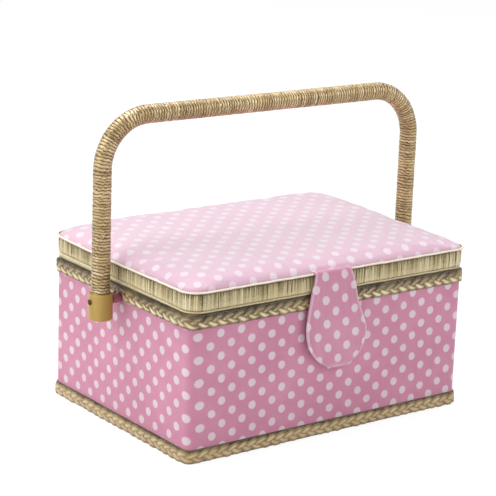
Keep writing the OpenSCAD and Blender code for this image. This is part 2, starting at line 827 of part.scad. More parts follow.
// Rooms of the tray: a full one in the middle and two at each end
module tray_rooms() {
    wall = tray_t / 2;
    end_w = (tray_w - tray_mid_w) / 2;
    rounded(tray_mid_w - 2 * wall, tray_d - 2 * tray_t, tray_r - tray_t);
    intersection() {
        tray_outline(tray_t);
        for (x = [-1, 1], y = [-1, 1])
            translate([x * (tray_mid_w + end_w) / 2, y * tray_d / 4])
                rounded(end_w - 2 * wall, tray_d / 2 - 2 * wall, tray_r - tray_t);
    }
}

module tray() {
    color("#f6f4f0") translate([0, 0, tray_z]) difference() {
        union() {
            linear_extrude(tray_h) tray_outline(0);
            translate([0, 0, tray_h - tray_t]) linear_extrude(tray_t) tray_outline(-lip_w);
        }
        translate([0, 0, tray_t]) linear_extrude(tray_h) tray_rooms();
    }
}

base_sheet();
base_panel();
front_board();
back_board();
left_board();
right_board();
rim_frame();
outer_cover();
lining();
base_braid();
rim_braid();
tray_ledges();
catch_disc();
handle_spacers();
pivot_rivets();
hinge_box_leaves();
hinge_pins();
hinge_box_screws();
lid_frame();
lid_board();
lid_band();
lid_edge_cord();
lid_piping();
lid_padding();
lid_cloth();
lid_lining();
lid_pocket();
pocket_elastic();
pincushion();
hinge_lid_leaves();
hinge_lid_screws();
closing_tab();
tab_magnet();
handle_core();
handle_wrap();
ferrule_left();
ferrule_right();
tray();
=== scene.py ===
"""Looks of the sewing basket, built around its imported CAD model.

Metres, +Z up, front towards -Y. The last argument of wander and each_own is a seed."""

import json
import math

import bmesh
import bpy
import numpy as np
from mathutils import Matrix, Vector


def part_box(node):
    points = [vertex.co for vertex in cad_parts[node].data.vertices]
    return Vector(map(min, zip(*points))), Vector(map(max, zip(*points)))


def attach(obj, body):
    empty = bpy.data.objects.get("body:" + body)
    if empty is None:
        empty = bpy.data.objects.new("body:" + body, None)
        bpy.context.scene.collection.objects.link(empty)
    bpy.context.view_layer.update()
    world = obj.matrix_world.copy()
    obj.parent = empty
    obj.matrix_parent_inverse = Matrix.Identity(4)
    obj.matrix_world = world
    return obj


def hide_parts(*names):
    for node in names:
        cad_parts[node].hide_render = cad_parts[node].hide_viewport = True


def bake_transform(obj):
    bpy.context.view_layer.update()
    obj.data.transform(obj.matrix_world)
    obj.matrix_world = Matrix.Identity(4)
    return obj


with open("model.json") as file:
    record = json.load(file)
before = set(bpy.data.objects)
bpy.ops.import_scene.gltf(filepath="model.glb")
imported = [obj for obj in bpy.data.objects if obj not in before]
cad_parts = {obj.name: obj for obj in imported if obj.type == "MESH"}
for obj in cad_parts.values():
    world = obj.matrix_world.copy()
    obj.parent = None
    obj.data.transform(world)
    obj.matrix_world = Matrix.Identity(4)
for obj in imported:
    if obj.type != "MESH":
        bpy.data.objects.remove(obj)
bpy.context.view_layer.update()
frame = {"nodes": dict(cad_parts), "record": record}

MM = 0.001
TAU = 2 * math.pi
TINY = 1e-12


def corners(node):
    """Lowest and highest corner of a CAD node, as arrays."""
    low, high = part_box(node)
    return np.array(low), np.array(high)


# Sizes taken from the frame
COVER_LOW, COVER_HIGH = corners("outer_cover")
BOX_W, BOX_D = (COVER_HIGH - COVER_LOW)[:2]
BASE_LOW, BASE_HIGH = corners("base_braid")
RIM_LOW, RIM_HIGH = corners("rim_braid")
BAND_LOW, BAND_HIGH = corners("lid_band")
PIPING_LOW, PIPING_HIGH = corners("lid_piping")
EDGE_LOW, EDGE_HIGH = corners("lid_edge_cord")
CLOTH_LOW, CLOTH_HIGH = corners("lid_cloth")
CORE_HIGH = corners("handle_core")[1]
WRAP_LOW = corners("handle_wrap")[0]
TAB_LOW = corners("closing_tab")[0]
POCKET_LOW, POCKET_HIGH = corners("lid_pocket")
ELASTIC_LOW, ELASTIC_HIGH = corners("pocket_elastic")
CUSHION_LOW, CUSHION_HIGH = corners("pincushion")
SPACER_LOW, SPACER_HIGH = corners("handle_spacers")
LEAF_HIGH = corners("hinge_box_leaves")[1]
LID_LEAF_HIGH = corners("hinge_lid_leaves")[1]

# Sizes that boxes don't give
CORNER_R = 5.5 * MM
LID_CORNER_R = 10.3 * MM
HINGE_L = 26 * MM
HINGE_ROOM = 1 * MM
BEND_R = 36 * MM
WRAP_R = 6.75 * MM
WRAP_PITCH = 2.2 * MM
BAND_PITCH = 1.27 * MM

# The print: the steps between dots and between rows, the dots, their soft edge and drift
DOT_ACROSS = 17 * MM
DOT_ROWS = 8.1 * MM
DOT_R = 3.0 * MM
DOT_BLUR = 0.35 * MM
DOT_DRIFT = 0.9 * MM
COTTON_PITCH = 0.36 * MM
SATIN_PITCH = 0.3 * MM

# The plaits: strands, the distance between their rings, and their start off the wall
STRANDS = 3
PLAIT_STEP = 0.8 * MM
PLAIT_BACK = 0.25 * MM

# Rows of the band: share of its height, and how far each is tucked in behind the trims
BAND_ROWS = np.array([(0, 1), (0, 0.4), (0.07, 0.1), (0.14, 0), (0.3, 0), (0.45, 0), (0.6, 0),
                      (0.7, 0), (0.8, 0), (0.88, 0.05), (0.95, 0.2), (1, 0.45), (1, 1)])

# The padded lid, in millimetres: how square its crown is, its greatest slope down, its dents
# (middle, width and depth) and the frames of its cloth simulation
LID_EDGE_POWER = 20
LID_MOST_LOWER = 6.5
LID_DENTS = [(-112, -18, 9, 1.4), (-60, 30, 30, 0.5), (50, -35, 34, 0.4)]
PUFF_STEPS = 20

# The tab below its fold, which leans a little, in millimetres: height, middle and half width
TAB_OUTLINE = [(120, -5.4, 16.4), (108, -4.1, 19.8), (96, -3.3, 22.2), (88, -2.0, 24.5),
               (80, -0.4, 26.5), (76, 0.4, 27.0)]
# Its creases: place and width as shares of the half width, depth in millimetres, seed
TAB_FOLDS = [(-0.62, 0.05, 0.40, 6), (-0.42, 0.06, 0.45, 1), (-0.05, 0.07, 0.35, 2),
             (0.2, 0.06, 0.50, 3), (0.55, 0.10, 0.60, 4), (0.80, 0.04, 0.55, 5)]

# Light: where the lights point, the world's strength, and the floor's glow and its share
LIGHTS_AIM = (0, 0, 0.1)
WORLD_LIGHT = 0.45
FLOOR_GLOW = 1.15
FLOOR_GLOW_SHARE = 0.75


def srgb(red, green, blue):
    """Linear colour of an sRGB colour in 0 to 255."""
    def linear(value):
        value /= 255
        return value / 12.92 if value <= 0.04045 else ((value + 0.055) / 1.055) ** 2.4
    return linear(red), linear(green), linear(blue), 1.0


def wander(x, seed):
    """Smooth value noise from -1 to 1 with a new random value at every whole number."""
    table = np.random.default_rng(seed).uniform(-1, 1, 512)
    x = np.asarray(x, float)
    whole = np.floor(x).astype(int)
    part = x - whole
    part = part * part * (3 - 2 * part)
    return table[whole % 512] * (1 - part) + table[(whole + 1) % 512] * part


def each_own(index, seed):
    """A random value from 0 to 1 for each whole number."""
    return np.random.default_rng(seed).uniform(0, 1, 4096)[np.asarray(index).astype(int) % 4096]


# Camera, light and floor

CAMERA_AT = (-0.7948, -1.0404, 0.4620)
YAW, PITCH, ROLL = (math.radians(a) for a in (-36.97, 14.85, 2.04))
CAMERA_LENS = 134.63


def photograph_camera():
    """The camera at the photograph's place and angle."""
    sin, cos = math.sin, math.cos
    back = Vector((sin(YAW) * cos(PITCH), -cos(YAW) * cos(PITCH), sin(PITCH)))
    level = Vector((cos(YAW), sin(YAW), 0))
    upright = back.cross(level)
    right = cos(ROLL) * level + sin(ROLL) * upright
    up = -sin(ROLL) * level + cos(ROLL) * upright
    data = bpy.data.cameras.new("camera")
    data.lens = CAMERA_LENS
    data.sensor_width = 36
    camera = bpy.data.objects.new("camera", data)
    bpy.context.collection.objects.link(camera)
    turn = Matrix((right, up, back)).transposed().to_4x4()
    camera.matrix_world = Matrix.Translation(CAMERA_AT) @ turn
    bpy.context.scene.camera = camera


def softbox(name, at, size, power):
    """A square soft light at a point, turned to the middle of the basket."""
    data = bpy.data.lights.new(name, "AREA")
    data.shape = "SQUARE"
    data.size = size
    data.energy = power
    light = bpy.data.objects.new(name, data)
    bpy.context.collection.objects.link(light)
    light.location = at
    to_basket = Vector(LIGHTS_AIM) - Vector(at)
    light.rotation_euler = to_basket.to_track_quat("-Z", "Y").to_euler()


def mixed_output(tree, kind, share, first, second):
    """Ends a node tree in a mix of two shaders, with a share of the second."""
    mix = tree.nodes.new("ShaderNodeMixShader")
    for output, socket in zip((share, first.outputs[0], second.outputs[0]), mix.inputs):
        tree.links.new(output, socket)
    tree.links.new(mix.outputs[0], tree.nodes.new(kind).inputs[0])


def white_world():
    """White background, with less light from it than it shows."""
    world = bpy.data.worlds.new("studio")
    bpy.context.scene.world = world
    world.use_nodes = True
    tree = world.node_tree
    tree.nodes.clear()
    ambient, white = (tree.nodes.new("ShaderNodeBackground") for _ in range(2))
    ambient.inputs["Strength"].default_value = WORLD_LIGHT
    ambient.inputs["Color"].default_value = white.inputs["Color"].default_value = (1, 1, 1, 1)
    mixed_output(tree, "ShaderNodeOutputWorld", seen_directly(tree), ambient, white)


def white_floor():
    """White floor that keeps a soft shadow."""
    bpy.ops.mesh.primitive_plane_add(size=8)
    floor = bpy.context.object
    floor.name = "floor"
    material = bpy.data.materials.new("floor")
    material.use_nodes = True
    tree = material.node_tree
    tree.nodes.clear()
    paper = tree.nodes.new("ShaderNodeBsdfDiffuse")
    paper.inputs["Color"].default_value = (0.92, 0.92, 0.92, 1)
    glow = tree.nodes.new("ShaderNodeEmission")
    glow.inputs["Strength"].default_value = FLOOR_GLOW
    share = tree.nodes.new("ShaderNodeMath")
    share.operation = "MULTIPLY"
    share.inputs[1].default_value = FLOOR_GLOW_SHARE
    tree.links.new(seen_directly(tree), share.inputs[0])
    mixed_output(tree, "ShaderNodeOutputMaterial", share.outputs[0], paper, glow)
    floor.data.materials.append(material)


def studio():
    """White world, soft lights and a white floor."""
    softbox("top_light", (-0.1, 0.5, 1.5), 1.3, 20.5)
    softbox("left_light", (-1.5, 0.1, 0.9), 1.1, 7.9)
    softbox("front_light", (1.1, -1.3, 1.0), 0.9, 6.3)
    white_world()
    white_floor()
    bpy.context.scene.view_settings.view_transform = "Standard"


def seen_directly(tree):
    """1 for what the camera sees, also in a mirror or through glass."""
    path = tree.nodes.new("ShaderNodeLightPath")
    seen = path.outputs["Is Camera Ray"]
    for ray in ("Is Glossy Ray", "Is Transmission Ray"):
        most = tree.nodes.new("ShaderNodeMath")
        most.operation = "MAXIMUM"
        tree.links.new(seen, most.inputs[0])
        tree.links.new(path.outputs[ray], most.inputs[1])
        seen = most.outputs[0]
    return seen


# Materials

class Shade:
    """A material with one Principled shader, and short ways to add nodes before it."""

    def __init__(self, name, **sockets):
        self.material = bpy.data.materials.new(name)
        self.material.use_nodes = True
        self.tree = self.material.node_tree
        self.shader = self.tree.nodes["Principled BSDF"]
        for socket, value in sockets.items():
            self.set(socket.replace("_", " "), value)

    def set(self, socket, value):
        self.put(self.shader.inputs[socket], value)

    def put(self, socket, value):
        if isinstance(value, bpy.types.NodeSocket):
            self.tree.links.new(value, socket)
        else:
            socket.default_value = value

    def node(self, kind, values=(), out=0, **settings):
        node = self.tree.nodes.new(kind)
        for key, value in settings.items():
            setattr(node, key, value)
        for socket, value in (values.items() if isinstance(values, dict) else enumerate(values)):
            self.put(node.inputs[socket], value)
        return node.outputs[out]

    def math(self, operation, *values):
        return self.node("ShaderNodeMath", values, operation=operation)

    def vector(self, operation, *values, out=0):
        return self.node("ShaderNodeVectorMath", values, operation=operation, out=out)

    def mix(self, share, first, second):
        return self.node("ShaderNodeMix", {0: share, 6: first, 7: second}, out=2, data_type="RGBA")

    def ramp(self, value, low, high, to_low=0.0, to_high=1.0):
        return self.node("ShaderNodeMapRange", (value, low, high, to_low, to_high))

    def place(self):
        return self.node("ShaderNodeTexCoord", out="Object")

    def uv(self):
        return self.node("ShaderNodeUVMap", uv_map="laid")

    # Each point's value of painted light and random tone: high for painted highlights, low for
    # painted shade
    def painted_light_and_tone(self):
        return self.node("ShaderNodeAttribute", out="Fac", attribute_name="painted_light_and_tone")

    def noise(self, where, scale, stretch=(1, 1, 1), detail=2.0):
        where = self.vector("MULTIPLY", where, stretch)
        return self.node("ShaderNodeTexNoise", {"Vector": where, "Scale": scale, "Detail": detail})

    def bump(self, height, distance, strength=1.0):
        self.set("Normal", self.node("ShaderNodeBump", {
            "Height": height, "Distance": distance, "Strength": strength}))

    def weave(self, where, pitch):
        """Height of a plain weave with threads a pitch apart, from 0 to 1."""
        scaled = self.vector("MULTIPLY", where, (TAU / pitch / 2,) * 3)
        waves = self.vector("SINE", scaled)
        parts = self.node("ShaderNodeSeparateXYZ", (waves,)).node.outputs
        return self.math("ABSOLUTE", self.math("MULTIPLY", parts[0], parts[1]))


def dotted_cloth(name, sheen=0.25, roughness=0.55, painted_sheen=0.0):
    """Pink printed cotton with white dots in staggered rows, one of them at the origin.
    A painted sheen, a pale veil mixed into its colour, lies over it, and more of it where the
    cloth is turned over."""
    shade = Shade(name, Roughness=roughness, Sheen_Weight=sheen, Sheen_Roughness=0.45,
                  Specular_IOR_Level=0.35)
    uv = shade.uv()
    loose = shade.node("ShaderNodeTexNoise", {"Vector": uv, "Scale": 160.0, "Detail": 1.0}, out=1)
    shift = shade.vector("SCALE", shade.vector("SUBTRACT", loose, (0.5, 0.5, 0.5)))
    shift.node.inputs["Scale"].default_value = DOT_DRIFT
    half = (DOT_ACROSS / 2, DOT_ROWS, 1)
    minus = tuple(-h for h in half)
    flat = shade.vector("MULTIPLY", shade.vector("ADD", uv, shift), (1, 1, 0))
    first = shade.vector("WRAP", flat, half, minus)
    second = shade.vector("WRAP", shade.vector("ADD", flat, half), half, minus)
    near = [shade.vector("LENGTH", shade.vector("MULTIPLY", v, (1, 1, 0)), out="Value")
            for v in (first, second)]
    distance = shade.math("MINIMUM", *near)
    dot = shade.ramp(distance, DOT_R - DOT_BLUR, DOT_R + DOT_BLUR, 1, 0)
    cloud = shade.ramp(shade.noise(uv, 22.0, detail=3.0), 0.3, 0.7)
    blot = shade.ramp(shade.noise(uv, 110.0, detail=2.0), 0.45, 0.75, 0, 0.5)
    pink = shade.mix(cloud, srgb(211, 139, 168), srgb(224, 154, 181))
    pink = shade.mix(blot, pink, srgb(218, 132, 168))
    white = shade.mix(cloud, srgb(233, 211, 221), srgb(242, 223, 232))
    # Painted sheen: the colour is mixed towards a pale pink by the painted light value and the
    # veil's share
    painted_sheen_share = shade.math("ADD", shade.math("MULTIPLY", shade.painted_light_and_tone(), 0.4), painted_sheen)
    colour = shade.mix(painted_sheen_share, shade.mix(dot, pink, white), srgb(252, 238, 254))
    weave = shade.weave(uv, COTTON_PITCH)
    # Painted shade: the weave's hollows are mixed a little darker
    shade.set("Base Color", shade.mix(shade.ramp(weave, 0, 1, 0.10, 0), colour, srgb(120, 60, 90)))
    shade.bump(weave, 0.06 * MM)
    return shade.material


def lattice(x, y, start, row, column):
    """Cloth coordinates of places on a print whose dots repeat by a row and a column step."""
    steps = np.linalg.inv(np.array([row, column]).T * MM)
    x, y = x - start[0] * MM, y - start[1] * MM
    across = steps[0, 0] * x + steps[0, 1] * y
    up = steps[1, 0] * x + steps[1, 1] * y
    return np.stack([across * DOT_ACROSS, up * 2 * DOT_ROWS], -1)


def cord_threads(name, crest, middle, groove, roughness=0.42, metal=0.0, groove_at=0.0):
    """Shiny cord coloured by its painted light value: painted highlights on the crests of its
    threads and painted shade in their grooves, with a slow random tone.
    """
    shade = Shade(name, Roughness=roughness, Sheen_Weight=0.15, Specular_IOR_Level=0.5,
                  Metallic=metal)
    uv = shade.uv()
    fine = shade.noise(uv, 900.0, (1, 6, 1), 2.0)
    slow = shade.noise(uv, 60.0, (1, 2, 1), 2.0)
    painted_light_and_tone = shade.math("ADD", shade.painted_light_and_tone(), shade.ramp(fine, 0.3, 0.7, -0.22, 0.22))
    dark = shade.mix(shade.ramp(painted_light_and_tone, groove_at, groove_at + 0.45), groove, middle)
    colour = shade.mix(shade.ramp(painted_light_and_tone, 0.45, 1.0), dark, crest)
    shade.set("Base Color", shade.mix(shade.ramp(slow, 0.35, 0.75, 0, 0.35), colour, middle))
    shade.bump(fine, 0.08 * MM, 0.7)
    return shade.material


def satin(name, colour):
    """Lining satin with a fine weave."""
    shade = Shade(name, Roughness=0.38, Sheen_Weight=0.4, Sheen_Roughness=0.3)
    at = shade.place()
    cloud = shade.noise(at, 18.0, detail=3.0)
    dark = tuple(0.82 * c for c in colour[:3]) + (1,)
    shade.set("Base Color", shade.mix(shade.ramp(cloud, 0.3, 0.7), dark, colour))
    shade.bump(shade.weave(at, SATIN_PITCH), 0.04 * MM)
    return shade.material


def grained(name, light, dark, stretch, roughness, depth=0.1):
    """Wood or board with a grain."""
    shade = Shade(name, Roughness=roughness)
    at = shade.place()
    grain = shade.noise(at, 120.0, stretch, 4.0)
    rings = shade.noise(at, 30.0, stretch, 2.0)
    both = shade.math("ADD", *(shade.math("MULTIPLY", part, 0.5) for part in (grain, rings)))
    shade.set("Base Color", shade.mix(shade.ramp(both, 0.35, 0.65), dark, light))
    shade.bump(grain, depth * MM, 0.6)
    return shade.material


def moulded(name, light, dark, roughness):
    """Moulded plastic with a faint texture and slight colour drift."""
    shade = Shade(name, Specular_IOR_Level=0.5)
    at = shade.place()
    drift = shade.noise(at, 40.0, detail=2.0)
    fine = shade.noise(at, 1500.0, detail=2.0)
    shade.set("Base Color", shade.mix(shade.ramp(drift, 0.3, 0.7), dark, light))
    shade.set("Roughness", shade.ramp(drift, 0.3, 0.7, roughness - 0.05, roughness + 0.06))
    shade.bump(fine, 0.04 * MM, 0.5)
    return shade.material


def metal(name, light, dark, roughness):
    """Plated metal with fine rubbing marks and dull patches."""
    shade = Shade(name, Metallic=1.0)
    at = shade.place()
    rub = shade.noise(at, 300.0, (1, 1, 8), 3.0)
    patch = shade.noise(at, 60.0, detail=3.0)
    shade.set("Base Color", shade.mix(shade.ramp(patch, 0.35, 0.7), light, dark))
    shade.set("Roughness", shade.ramp(rub, 0.3, 0.7, roughness - 0.08, roughness + 0.12))
    shade.bump(rub, 0.02 * MM, 0.5)
    return shade.material


# Meshes from rows and columns of points

class Patch:
    """Rows and columns of points, with a coordinate in metres and a value of painted light and
    random tone at each.
    """

    def __init__(self, points, rows_meet=False, columns_meet=False, uv=None, step=(MM, MM),
                 painted_light_and_tone=1.0, caps=False):
        self.points = points
        rows, columns = points.shape[:2]
        self.rows_meet = rows_meet
        self.columns_meet = columns_meet
        if uv is None:
            i, j = np.meshgrid(np.arange(rows + 1), np.arange(columns + 1), indexing="ij")
            uv = np.stack([i * step[0], j * step[1]], -1)
        self.uv = uv
        self.painted_light_and_tone = np.broadcast_to(painted_light_and_tone, (rows, columns))
        self.caps = caps

    def faces(self, first):
        rows, columns = self.points.shape[:2]
        i, j = np.meshgrid(np.arange(rows if self.rows_meet else rows - 1),
                           np.arange(columns if self.columns_meet else columns - 1), indexing="ij")
        i, j = i.ravel(), j.ravel()
        after, beside = (i + 1) % rows, (j + 1) % columns
        quads = np.stack([i * columns + j, after * columns + j, after * columns + beside,
                          i * columns + beside], 1) + first
        places = np.stack([self.uv[i, j], self.uv[i + 1, j], self.uv[i + 1, j + 1],
                           self.uv[i, j + 1]], 1)
        faces = quads.tolist()
        if self.caps:
            faces.append([first + k for k in range(columns)])
            faces.append([first + (rows - 1) * columns + k for k in reversed(range(columns))])
            flat = np.concatenate([self.uv[0, :columns], self.uv[rows - 1, columns - 1::-1]])
        else:
            flat = np.zeros((0, 2))
        return faces, np.concatenate([places.reshape(-1, 2), flat])


def build(name, patches, material, body, replaces):
    """One smooth mesh object of several patches, riding on a body where one is named."""
    points, faces, places, painted_lights_and_tones = [], [], [], []
    count = 0
    for patch in patches:
        new, uv = patch.faces(count)
        faces += new
        places.append(uv)
        points.append(patch.points.reshape(-1, 3))
        painted_lights_and_tones.append(patch.painted_light_and_tone.ravel())
        count += len(points[-1])
    mesh = bpy.data.meshes.new(name)
    mesh.from_pydata(np.concatenate(points).tolist(), [], faces)
    mesh.uv_layers.new(name="laid").data.foreach_set("uv", np.concatenate(places).ravel())
    # Each point keeps its value of painted light and tone, which the materials turn into painted
    # highlights and shade
    mesh.attributes.new("painted_light_and_tone", "FLOAT", "POINT").data.foreach_set("value", np.concatenate(painted_lights_and_tones))
    shell = bmesh.new()
    shell.from_mesh(mesh)
    bmesh.ops.recalc_face_normals(shell, faces=shell.faces)
    shell.to_mesh(mesh)
    shell.free()
    mesh.polygons.foreach_set("use_smooth", [True] * len(mesh.polygons))
    mesh.materials.append(material)
    piece = bpy.data.objects.new(name, mesh)
    bpy.context.collection.objects.link(piece)
    if body:
        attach(piece, body)
    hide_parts(*replaces)
    return piece


def walk(legs, centre_x, centre_y, quarters, radius, closed):
    """A path from the lengths of its legs and, at the end of each, the centre of its bend and
    the quarter turns to the outward normal. Gives a function from distance to points and
    outward normals, and the whole distance."""
    stops = np.cumsum(legs)
    heading = TAU / 4 * np.array(quarters)

    def at(s):
        if closed:
            s = np.mod(s, stops[-1])
        x, y, turn = (np.interp(s, stops, values) for values in (centre_x, centre_y, heading))
        return x + radius * np.cos(turn), y + radius * np.sin(turn), np.cos(turn), np.sin(turn)
    return at, stops[-1]


def rounded_path(width, depth, radius):
    """Walk round a rounded rectangle from the middle of the back by the left, front and right."""
    a, b, bend = width / 2 - radius, depth / 2 - radius, TAU / 4 * radius
    return walk([0, a, bend, 2 * b, bend, 2 * a, bend, 2 * b, bend, a],
                [0, -a, -a, -a, -a, a, a, a, a, 0], [b, b, b, -b, -b, -b, -b, b, b, b],
                [1, 1, 2, 2, 3, 3, 4, 4, 5, 5], radius, True)


def laid_round(at, flat):
    """Bends flat points (along, up, outwards) round a path."""
    x, y, out_x, out_y = at(flat[..., 0])
    out = flat[..., 2]
    return np.stack([x + out_x * out, y + out_y * out, flat[..., 1]], -1)


BOX_PATH, BOX_ROUND = rounded_path(BOX_W, BOX_D, CORNER_R)
LID_PATH, LID_ROUND = rounded_path(BOX_W, BOX_D, LID_CORNER_R)
NEAR_CORNER = BOX_W / 2 + BOX_D - 3 * CORNER_R + 1.5 * TAU / 4 * CORNER_R


def cover_cloth():
    """Printed cloth round the walls, with a print for the left and one for the front wall that
    change over round the corner."""
    columns, rows = 500, 16
    most_slack, thick, change_over = 0.12 * MM, 0.8 * MM, 36 * MM
    s = BOX_ROUND * np.arange(columns) / columns
    z = np.linspace(COVER_LOW[2], COVER_HIGH[2], rows)
    along, up = np.meshgrid(s, z)
    slack = most_slack * wander(along / (31 * MM) + 2 * wander(up / (40 * MM), 3), 5)
    flat = np.stack([along, up, slack - most_slack], -1)
    inner = np.stack([along[::-1], up[::-1], np.full_like(up, -thick)], -1)[[0, -1]]
    flat = np.concatenate([flat, inner])
    heights = np.concatenate([z, z[[-1, 0]], z[:1]])
    s, z = np.meshgrid(np.append(s, BOX_ROUND), heights)
    left_mid = NEAR_CORNER - BOX_D / 2 + CORNER_R - TAU / 8 * CORNER_R
    front = lattice(s - BOX_ROUND / 2, z, (67.56, 35.93), (17.0, 0.31), (-0.77, 16.1))
    left = lattice(s - left_mid, z, (20.78, 39.48), (16.86, 0.07), (-0.5, 16.2))
    left += (-14.5 * DOT_ACROSS, DOT_ROWS)
    share = np.clip(0.5 + (s - NEAR_CORNER) / change_over, 0, 1)[..., None]
    uv = left + (front - left) * share * share * (3 - 2 * share)
    patch = Patch(laid_round(BOX_PATH, flat), rows_meet=True, columns_meet=True, uv=uv, painted_light_and_tone=0)
    build("cover_cloth", [patch], dotted_cloth("dotted_cover"), "box",
          ["outer_cover"])


def strand(centre, wide, thick, sides, threads):
    """Rings of a flattened bundle of threads round a centre line of flat points, and the value of
    painted light of each point: painted shade in the grooves between its threads and at its edges."""
    along = np.gradient(centre, axis=0)
    along /= np.linalg.norm(along, axis=1, keepdims=True)
    across = np.cross(along, (0, 0, 1))
    across /= np.linalg.norm(across, axis=1, keepdims=True)
    up = np.cross(across, along)
    turn = TAU * np.arange(sides) / sides
    painted_light_and_tone = 0.5 + 0.5 * np.cos(threads * turn)
    swell = 1 - 0.12 * (1 - painted_light_and_tone)
    # Painted shade at the strand's two narrow edges, where it meets its neighbours
    painted_light_and_tone = (0.3 + 0.7 * painted_light_and_tone) * np.clip(0.25 + 2.4 * (1 - np.abs(np.cos(turn))), 0, 1)
    wide = np.broadcast_to(wide, len(centre))[:, None, None]
    thick = np.broadcast_to(thick, len(centre))[:, None, None]
    ring = (centre[:, None] + (wide / 2) * (np.cos(turn) * swell)[None, :, None] * across[:, None]
            + (thick / 2) * (np.sin(turn) * swell)[None, :, None] * up[:, None])
    return ring, np.broadcast_to(painted_light_and_tone, ring.shape[:2])


def painted_shade_strip(s, low, high):
    """Flat strip behind a plait, coloured dark as painted shade in the gaps between its strands,
    as points along, up and outwards.
    """
    top, edge = high + 0.6 * MM, 0.5 * MM
    back, face, side = -0.3 * MM, 0.45 * MM, 0.1 * MM
    heights = np.array([low, low + edge, top - edge, top, top, low])
    along, up = np.meshgrid(s, heights, indexing="ij")
    out = np.broadcast_to([side, face, face, side, back, back], along.shape)
    return np.stack([along, up, out], -1)


def plait_patches(path, start, end, low, high, proud, period, closed, seed, squeeze=None,
                  wide_share=0.46, shaded=0.0, light_evened=0.0):
    """Three strands plaited flat along a path, in front of a flat strip coloured dark as painted
    shade.
    """
    height, depth = high - low, proud - PLAIT_BACK
    wide, thick = wide_share * height, 0.62 * depth
    steps = round((end - start) / PLAIT_STEP)
    s = start + (end - start) * np.arange(steps + (not closed)) / steps
    patches = []

    def lay_down(flat, across, painted_light_and_tone):
        patches.append(Patch(laid_round(path, flat), rows_meet=closed, columns_meet=True,
                             step=(PLAIT_STEP, across), painted_light_and_tone=painted_light_and_tone, caps=not closed))

    for k in range(STRANDS):
        phase = TAU * (s / period + k / STRANDS) + 0.25 * wander(s / (9 * MM) + 30 * k, seed + 5)
        loose = 1 + 0.24 * wander(s / (6 * MM) + 50 * k, seed + k)
        z = (low + high) / 2 + (height - wide) / 2 * np.sin(phase)
        z += 0.25 * MM * wander(s / (8 * MM) + 20 * k, seed + 8)
        over = 0.5 + 0.5 * np.sin(2 * phase)
        out = PLAIT_BACK + thick / 2 + (depth - thick) * over
        centre = np.stack([s, z, out], -1)
        ring, painted_light_and_tone = strand(centre, wide * loose * (0.8 + 0.25 * over), thick, sides=24, threads=4)
        own = each_own(np.floor(2 * phase / TAU) + 100 * k, seed + 3)
        # Painted shade where a strand dips under the others, and a random tone for each strand
        painted_light_and_tone = painted_light_and_tone * (0.25 + 0.75 * over[:, None] ** 0.7) * (0.7 + 0.3 * own[:, None])
        if squeeze:
            ring = squeeze(ring)
        ring[..., 1] = np.clip(ring[..., 1], low, high)
        # Painted shade on the upper part of the plait, under the lid's edge
        above = np.clip((ring[..., 1] - low) / height / 0.22 - 1.9, 0, 1)
        painted_light_and_tone = painted_light_and_tone * (1 - shaded * above)
        # A share evens the painted highlights and shade towards a middle value
        lay_down(ring, 0.4 * MM, painted_light_and_tone + light_evened * (0.7 - painted_light_and_tone))
    # The strip behind gets a low value, dark as painted shade
    flat = painted_shade_strip(s, low, high)
    lay_down(squeeze(flat) if squeeze else flat, MM, 0.05)
    return patches


def hinge_span(leaf_high):
    """Distances from the middle of the back between which a hinge and its room lie."""
    middle = leaf_high[0] - HINGE_L / 2
    return middle - HINGE_L / 2 - HINGE_ROOM, middle + HINGE_L / 2 + HINGE_ROOM


def rim_plait(material):
    """Plaited cord round the rim: it stops at the hinges and squeezes over the spacers."""
    inner, outer = hinge_span(LEAF_HIGH)
    spacer_r = (SPACER_HIGH[2] - SPACER_LOW[2]) / 2 + 0.5 * MM
    spacer_z = (SPACER_HIGH[2] + SPACER_LOW[2]) / 2
    reach = spacer_r + 5 * MM
    low, high = RIM_LOW[2], RIM_HIGH[2]
    side = BOX_W / 2 - CORNER_R + TAU / 4 * CORNER_R + BOX_D / 2 - CORNER_R

    def squeeze(flat):
        for middle in (side, BOX_ROUND - side):
            near = np.clip(1 - np.abs(flat[..., 0] - middle) / reach, 0, 1)
            lift = (spacer_z + spacer_r - low) * np.minimum(1, 2.1 * near) ** 1.5
            share = (flat[..., 1] - low) / (high - low)
            flat[..., 1] += lift * (1 - share)
        return flat

    patches = []
    for start, end, seed, over_spacers in ((-inner, inner, 11, None),
                                           (outer, BOX_ROUND - outer, 21, squeeze)):
        patches += plait_patches(BOX_PATH, start, end, low, high, RIM_HIGH[0] - BOX_W / 2,
                                 BOX_ROUND / 33, False, seed, over_spacers, shaded=0.6)
    build("rim_plait", patches, material, "box", ["rim_braid"])


def base_plait(material):
    """Flatter plaited cord round the bottom edge, which the basket stands on."""
    patches = plait_patches(BOX_PATH, 0, BOX_ROUND, BASE_LOW[2], BASE_HIGH[2],
                            BASE_HIGH[0] - BOX_W / 2, BOX_ROUND / 34, True, 31,
                            wide_share=0.52, light_evened=0.2)
    build("base_plait", patches, material, "box", ["base_braid"])


def lid_lift(y):
    """How much the lower and the upper edge of the lid's side rise towards the hinges."""
    share = np.clip((y + BOX_D / 2) / BOX_D, 0, 1)
    return 3.2 * MM * share ** 0.8, 2.2 * MM * np.clip(2 * share - 1, 0, 1) ** 1.5


